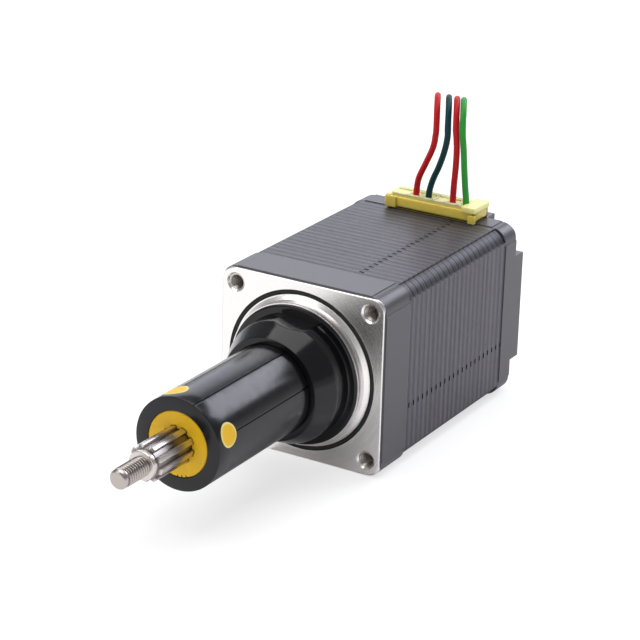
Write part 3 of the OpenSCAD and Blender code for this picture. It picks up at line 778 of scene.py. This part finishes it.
def splined_shaft():
    """Round collar at the front end, then the splines, which rise over a short run-out."""
    front = SPLINE_END_Y
    run_out = 0.25
    ease = 0.2
    loop = spline_loop(0, front)
    start_r = SPLINE_ROOT_R + 0.12
    starts = [on_axis(min(math.hypot(p[0], p[2]), start_r), turn_of(p), front) for p in loop]
    rings = [
        ring_like(loop, TIP_R, SHAFT_LOW.y),
        ring_like(loop, SHAFT_COLLAR_R - ease, SHAFT_LOW.y),
        ring_like(loop, SHAFT_COLLAR_R - 0.25 * ease, SHAFT_LOW.y + 0.3 * ease),
        ring_like(loop, SHAFT_COLLAR_R, SHAFT_LOW.y + ease),
        ring_like(loop, SHAFT_COLLAR_R, front),
        starts, at_y(loop, front + run_out), at_y(loop, SHAFT_HIGH.y),
    ]
    points, faces = skin_rings(rings)
    new_piece("shaft_with_splines", points, faces, "shaft_steel", "plunger", ["splined_shaft"], 28)


def stud():
    """Threaded stud with a plain, eased tip."""
    plain_y = STUD_LOW.y + STUD_PLAIN_END
    plain_r = STUD_HIGH.x - 0.08
    tip = [
        (TIP_R, STUD_LOW.y), (plain_r - 0.35, STUD_LOW.y), (plain_r - 0.25, STUD_LOW.y + 0.04),
        (plain_r, STUD_LOW.y + 0.3), (plain_r, plain_y - 0.05),
    ]
    rings = turned_rings(tip, even_turns(48))
    rings += threaded_rings(STUD_HIGH.x, STUD_MINOR_R, STUD_PITCH, 1, plain_y, STUD_HIGH.y)
    points, faces = skin_rings(rings)
    piece = new_piece(
        "stud_thread", points, faces, "shaft_steel", "plunger", ["threaded_stud"],
        THREAD_SMOOTH_ANGLE,
    )
    piece.data.materials[0] = STUD_METAL


def lead_screw():
    """Multi-start thread behind the splined shaft, inside the housing."""
    rings = threaded_rings(
        SCREW_HIGH.x, SCREW_MINOR_R, SCREW_PITCH, SCREW_STARTS, SCREW_FRONT_Y, SCREW_HIGH.y, 40, 6
    )
    points, faces = skin_rings(rings)
    piece = new_piece(
        "screw_thread", points, faces, "shaft_steel", "plunger", ["lead_screw"],
        THREAD_SMOOTH_ANGLE,
    )
    piece.data.materials[0] = SCREW_METAL


def mounting_threads():
    """Thread inside each of the four mounting holes, in darker metal as painted shade."""
    per_turn = 36
    rings = threaded_rings(
        HOLE_THREAD_R, HOLE_THREAD_MINOR_R, HOLE_THREAD_PITCH, 1,
        HOLE_THREAD_Y, HOLE_DEPTH, per_turn,
    )
    wall = [(HOLE_R, HOLE_DEPTH), (HOLE_R, HOLE_THREAD_Y)]
    rings += turned_rings(wall, even_turns(per_turn))
    points, faces = skin_rings(rings, closed=True)
    for i, x in enumerate((-HOLE_HALF_SPACING, HOLE_HALF_SPACING)):
        for j, z in enumerate((-HOLE_HALF_SPACING, HOLE_HALF_SPACING)):
            moved = [(p[0] + x, p[1], p[2] + z) for p in points]
            name = f"hole_thread_{2 * i + j + 1}"
            thread = new_piece(
                name, moved, faces, "black_bell", "root", (), THREAD_SMOOTH_ANGLE
            )
            thread.data.materials[0] = HOLE_SHADE_METAL


# ---------------------------------------------------------------- connector

HEADER_X = (-7.1, 8.6)
HEADER_Y = (37, 41.6)
HEADER_TOP = 16
HEADER_WALL = 0.5
HEADER_BACK_RISE = 0.3
TONGUE_Y = (38, 41.2)
TONGUE_FOOT = 13.2
PLUG_X = (-6.55, 8.05)
PLUG_Y = (37.55, 41.05)
PLUG_TOP = 16.5
LIP_TOP = 16.75
LIP_W = 2.2
POST_W = 1.75
POST_STEP = 0.35
POST_PROUD = 0.16
CORNER_W = 1.05
CONTACT_X = (-4.8, -2.6, -0.4, 1.8, 4, 6.2)
CONTACT_PITCH = 2.2
RIB_W = 0.5


def boxes_piece(name, boxes, slot, replaced, ease=0.1):
    """One piece made of boxes, given by X, Y and Z limits in millimetres, with round edges."""
    mesh = bpy.data.meshes.new(name)
    b = bmesh.new()
    for limits in boxes:
        made = bmesh.ops.create_cube(b, size=1)["verts"]
        for v in made:
            for axis in range(3):
                low, high = limits[axis]
                v.co[axis] = (low + (v.co[axis] + 0.5) * (high - low)) * MM
        edges = list({e for v in made for e in v.link_edges})
        thin = min(high - low for low, high in limits)
        offset = min(ease, thin * 0.3) * MM
        bmesh.ops.bevel(b, geom=edges, offset=offset, segments=3, affect="EDGES", profile=0.6)
    b.to_mesh(mesh)
    b.free()
    smooth_to(mesh, 40)
    add_piece(name, mesh, slot, "root", replaced)


def connector_header():
    """Floor, tongue and walls round the plug, and a block at each end of the front wall."""
    foot_z = HALF_BODY
    front_y, back_y = HEADER_Y
    left_x, right_x = HEADER_X
    walls = (foot_z, HEADER_TOP)
    blocks_y = (front_y - POST_STEP, front_y + 0.2)
    boxes_piece("header_shell", [
        (HEADER_X, (front_y, front_y + HEADER_WALL), walls),
        (HEADER_X, (back_y - HEADER_WALL, back_y), (foot_z, HEADER_TOP + HEADER_BACK_RISE)),
        ((left_x, left_x + HEADER_WALL), HEADER_Y, walls),
        ((right_x - HEADER_WALL, right_x), HEADER_Y, walls),
        (HEADER_X, HEADER_Y, (foot_z, foot_z + HEADER_WALL)),
        (PLUG_X, TONGUE_Y, (TONGUE_FOOT, foot_z + 0.1)),
        ((left_x - POST_PROUD, left_x + POST_W), blocks_y, (foot_z + 0.15, HEADER_TOP + 0.1)),
        ((right_x - CORNER_W, right_x + POST_PROUD), blocks_y, (foot_z, HEADER_TOP - 0.5)),
    ], "connector_plastic", ["connector_header"], 0.14)


def connector_plug():
    """Pale plug between the walls: dividers between the contacts, and a lip at each end."""
    front_y, back_y = HEADER_Y
    left_x, right_x = HEADER_X
    seat_z = HALF_BODY + 0.55
    boxes = [
        (PLUG_X, PLUG_Y, (seat_z, PLUG_TOP - 0.12)),
        (PLUG_X, (PLUG_Y[0], PLUG_Y[0] + 0.6), (seat_z, PLUG_TOP)),
        (PLUG_X, (PLUG_Y[1] - 1.1, PLUG_Y[1]), (seat_z, PLUG_TOP + 0.05)),
    ]
    for x in CONTACT_X[:-1]:
        middle = x + CONTACT_PITCH / 2
        boxes.append((
            (middle - RIB_W / 2, middle + RIB_W / 2), (PLUG_Y[0], PLUG_Y[1] - 0.6),
            (seat_z, PLUG_TOP + 0.04),
        ))
    boxes_piece("plug_housing", boxes, "plug_plastic", ["connector_plug"], 0.12)
    # The lip over the right end, and the low rim over the left one
    boxes_piece("plug_lips", [
        ((right_x - LIP_W, right_x + 0.2), (front_y - POST_STEP - 0.1, back_y + 0.1),
         (HEADER_TOP - 0.15, LIP_TOP)),
        ((left_x - 0.1, PLUG_X[0] + 0.3), (front_y - 0.05, back_y + 0.1),
         (HEADER_TOP - 0.1, HEADER_TOP + 0.3)),
    ], "plug_plastic", (), 0.14)


# ---------------------------------------------------------------- leads

LEAD_LENGTH = 300
LEAD_D = 1.0
COIL_X = -8.4
COIL_Y = 56
COIL_START_Z = -13.2
TURN_PITCH = 1.05
COIL_STEP = 10
CROSSOVER = (200, 280)
ROUTES = {
    "lead_red_left": [
        (-2.65, 38.6, 15.4), (-2.65, 38.6, 17), (-2.35, 38.6, 19.2), (-1.15, 38.6, 22),
        (0, 38.6, 24.8), (0.35, 38.6, 27), (0.4, 38.6, 28), (-0.15, 39.6, 30.8),
        (-1.45, 42.1, 32), (-2.85, 44.7, 30.8), (-3.35, 45.7, 28), (-3.4, 45.7, 24.6),
        (-3.75, 45.7, 22.4), (-4.95, 45.7, 19.5), (-6.15, 45.7, 16.6), (-6.45, 45.7, 14.4),
        (-5.5, 45.7, 4), (-3.8, 45.7, -8), (-3.5, 45.9, -11), (-3.5, 47, -12.9),
        (-3.5, 49.2, -13.6),
    ],
    "lead_teal": [
        (-0.4, 38.6, 15.4), (-0.4, 38.6, 17), (0.1, 38.6, 19.2), (1.25, 38.6, 22),
        (2.1, 38.6, 24.8), (2.45, 38.6, 27), (2.4, 38.6, 28), (1.9, 39.6, 30.8),
        (0.55, 42.1, 32), (-0.8, 44.7, 30.8), (-1.3, 45.7, 28), (-1.25, 45.7, 24.6),
        (-1.6, 45.7, 22.4), (-2.5, 45.7, 19.5), (-3.65, 45.7, 16.6), (-4.15, 45.7, 14.4),
        (-3.6, 45.7, 4), (-2.6, 45.7, -8), (-2.45, 45.9, -11), (-2.45, 47, -12.9),
        (-2.45, 49.9, -13.6),
    ],
    "lead_red_right": [
        (3.9, 38.6, 15.4), (3.9, 38.6, 17), (3.95, 38.6, 19.2), (4.1, 38.6, 22),
        (4.15, 38.6, 24.8), (4, 38.6, 27), (3.85, 38.6, 28), (3.3, 39.6, 30.8),
        (2, 42.1, 32), (0.65, 44.7, 30.8), (0.15, 45.7, 28), (0.35, 45.7, 24.6),
        (0.5, 45.7, 22.4), (0.45, 45.7, 19.5), (0.25, 45.7, 16.6), (0.2, 45.7, 14.4),
        (-0.3, 45.7, 4), (-1.3, 45.7, -8), (-1.4, 45.9, -11), (-1.4, 47, -12.9),
        (-1.4, 50.9, -13.6),
    ],
    "lead_green": [
        (6.3, 38.6, 15.4), (6.2, 38.6, 17), (5.95, 38.6, 19.2), (5.65, 38.6, 22),
        (5.4, 38.6, 24.8), (5.15, 38.6, 27), (5, 38.6, 28), (4.5, 39.6, 30.8),
        (3.2, 42.1, 32), (1.85, 44.7, 30.8), (1.35, 45.7, 28), (1.5, 45.7, 24.6),
        (1.75, 45.7, 22.4), (2, 45.7, 19.5), (2.3, 45.7, 16.6), (2.6, 45.7, 14.4),
        (1.8, 45.7, 4), (-0.1, 45.7, -8), (-0.35, 45.9, -11), (-0.35, 47, -12.9),
        (-0.35, 52.7, -13.6),
    ],
}
LEAD_SLOTS = {
    "lead_red_left": "lead_red",
    "lead_teal": "lead_teal",
    "lead_red_right": "lead_red",
    "lead_green": "lead_green",
}


def smooth_line(points, step=0.6):
    """Catmull-Rom curve through the points, sampled about every step."""
    line = []
    for i in range(len(points) - 1):
        a = Vector(points[max(i - 1, 0)])
        b, c = Vector(points[i]), Vector(points[i + 1])
        d = Vector(points[min(i + 2, len(points) - 1)])
        span = (c - b).length
        out = (c - a) / (span + (b - a).length or 1) * span
        into = (d - b) / ((d - c).length + span or 1) * span
        count = max(1, round(span / step))
        for k in range(count):
            t = k / count
            h1 = 2 * t ** 3 - 3 * t ** 2 + 1
            h2 = t ** 3 - 2 * t ** 2 + t
            h3 = -2 * t ** 3 + 3 * t ** 2
            h4 = t ** 3 - t ** 2
            line.append(h1 * b + h2 * out + h3 * c + h4 * into)
    line.append(Vector(points[-1]))
    return line


def line_length(line):
    return sum((b - a).length for a, b in zip(line, line[1:]))


def coil_height(turn):
    """Each turn lies flat, then steps up by one diameter in the crossover."""
    whole, part = divmod(turn, 360)
    share = min(1, max(0, (part - CROSSOVER[0]) / (CROSSOVER[1] - CROSSOVER[0])))
    ease = share * share * (3 - 2 * share)
    return COIL_START_Z + TURN_PITCH * (whole + ease)


def coil_line(radius, length):
    """Turns of one lead round the coil, from its +X side."""
    line = []
    done = 0.0
    turn = 0
    while done < length:
        angle = math.radians(turn)
        x = COIL_X + radius * math.cos(angle)
        y = COIL_Y + radius * math.sin(angle)
        point = Vector((x, y, coil_height(turn)))
        if line:
            done += (point - line[-1]).length
        line.append(point)
        turn += COIL_STEP
    return line


def leads():
    """Each lead as one cord: up from its contact, over the back, then round the coil."""
    for name, route in ROUTES.items():
        radius = route[-1][0] - COIL_X
        approach = [(route[-1][0], COIL_Y - 2.4, -13.35), (route[-1][0], COIL_Y, COIL_START_Z)]
        free = smooth_line(route + [p for p in approach if p[1] > route[-1][1] + 0.5])
        rest = coil_line(radius, LEAD_LENGTH - line_length(free))
        line = free + rest[1:]
        curve = bpy.data.curves.new(name + "_wire", "CURVE")
        curve.dimensions = "3D"
        curve.bevel_depth = LEAD_D / 2 * MM
        curve.bevel_resolution = 4
        curve.use_fill_caps = True
        spline = curve.splines.new("POLY")
        spline.points.add(len(line) - 1)
        for point, place in zip(spline.points, line):
            point.co = (*(place * MM), 1)
        carries_coil = name == "lead_green"
        replaced = [name, "lead_coil"] if carries_coil else [name]
        obj = add_piece(name + "_wire", curve, LEAD_SLOTS[name], "root", replaced)


# ---------------------------------------------------------------- setting

LENS = 133.6
CAMERA_PLACE = (167.22, -276.77, 133.37)
CAMERA_TARGET = (3.12, 0, 8.71)
CAMERA_ROLL = 1.53
FLOOR_REACH = 3000
COOL = (0.86, 0.88, 1)


def area_light(name, place, size, power, color=(1, 1, 1)):
    """A soft rectangular light at a place in metres, aimed at the origin."""
    data = bpy.data.lights.new(name, "AREA")
    data.shape = "RECTANGLE"
    data.size, data.size_y = size
    data.energy = power
    data.color = color
    obj = add_object(name, data)
    obj.location = place
    obj.rotation_euler = (-Vector(place)).to_track_quat("-Z", "Y").to_euler()


def sky():
    """Dim room with a pale band at the horizon."""
    world = bpy.data.worlds.new("studio_room")
    world.use_nodes = True
    tree = world.node_tree
    place = tree.nodes.new("ShaderNodeTexCoord")
    axes = tree.nodes.new("ShaderNodeSeparateXYZ")
    band = tree.nodes.new("ShaderNodeMapRange")
    tree.links.new(axes.inputs[0], place.outputs["Generated"])
    tree.links.new(band.inputs["Value"], axes.outputs["Z"])
    band.interpolation_type = "SMOOTHSTEP"
    for name, number in (
        ("From Min", 0.09), ("From Max", 0.2), ("To Min", 0.7), ("To Max", 0.32)
    ):
        band.inputs[name].default_value = number
    back = tree.nodes["Background"]
    back.inputs["Color"].default_value = (0.97, 0.98, 1, 1)
    tree.links.new(back.inputs["Strength"], band.outputs["Result"])
    bpy.context.scene.world = world


def flat_stage(name, low, high, z, finish):
    """A level rectangle beside the object, from corners in millimetres."""
    mesh = bpy.data.meshes.new(name)
    corners = [(low[0], low[1]), (high[0], low[1]), (high[0], high[1]), (low[0], high[1])]
    mesh.from_pydata([Vector((x, y, z)) * MM for x, y in corners], [], [(0, 1, 2, 3)])
    mesh.materials.append(finish)
    obj = add_object(name, mesh)
    return obj


def add_camera():
    """The photo's viewpoint, with its slight roll."""
    camera = bpy.data.cameras.new("camera")
    camera.lens = LENS
    camera.sensor_width = 36
    camera.clip_start = 0.01
    obj = add_object("camera", camera)
    place = Vector(CAMERA_PLACE) * MM
    target = Vector(CAMERA_TARGET) * MM
    roll = Quaternion((0, 0, 1), math.radians(CAMERA_ROLL))
    obj.location = place
    obj.rotation_euler = ((target - place).to_track_quat("-Z", "Y") @ roll).to_euler()
    bpy.context.scene.camera = obj


def setting():
    bpy.context.scene.view_settings.view_transform = "Standard"
    add_camera()
    sky()
    area_light("overhead", (-0.12, 0, 1.1), (1.2, 1.2), 10)
    area_light("back_panel", (0.33, 0.95, 0.69), (0.8, 0.5), 7.6, COOL)
    area_light("side_panel", (-0.62, 0.92, 0.5), (0.8, 0.6), 3, COOL)
    area_light("front_fill", (-0.7, -1.0, 0.7), (0.7, 0.7), 3)
    flat_stage(
        "floor", (-FLOOR_REACH, -FLOOR_REACH), (FLOOR_REACH, FLOOR_REACH), FLOOR_Z, floor_finish()
    )
    # A grey card right of the motor, seen in the reflections only, keeps that side dark.
    grey = moulded_finish("grey_card", (0.9, 0.88, 0.9), 0.9)
    card = flat_stage("grey_card", (-5, -36), (80, 110), FLOOR_Z + 0.15, grey)
    card.visible_camera = False
    card.visible_diffuse = False
    card.visible_shadow = False


def paint_frame():
    """Gives each CAD node the finish of its record slot."""
    slots = {s["node"]: s["material_slot"] for s in frame["record"]["subparts"]}
    for name, obj in frame["nodes"].items():
        obj.data.materials.clear()
        obj.data.materials.append(MATERIALS[slots[name]])


setting()
leads()
paint_frame()
sleeve_base()
guide_sleeve()
spline_bushing()
bushing_lugs()
rim_dark_wedges()
splined_shaft()
stud()
lead_screw()
mounting_threads()
connector_header()
connector_plug()
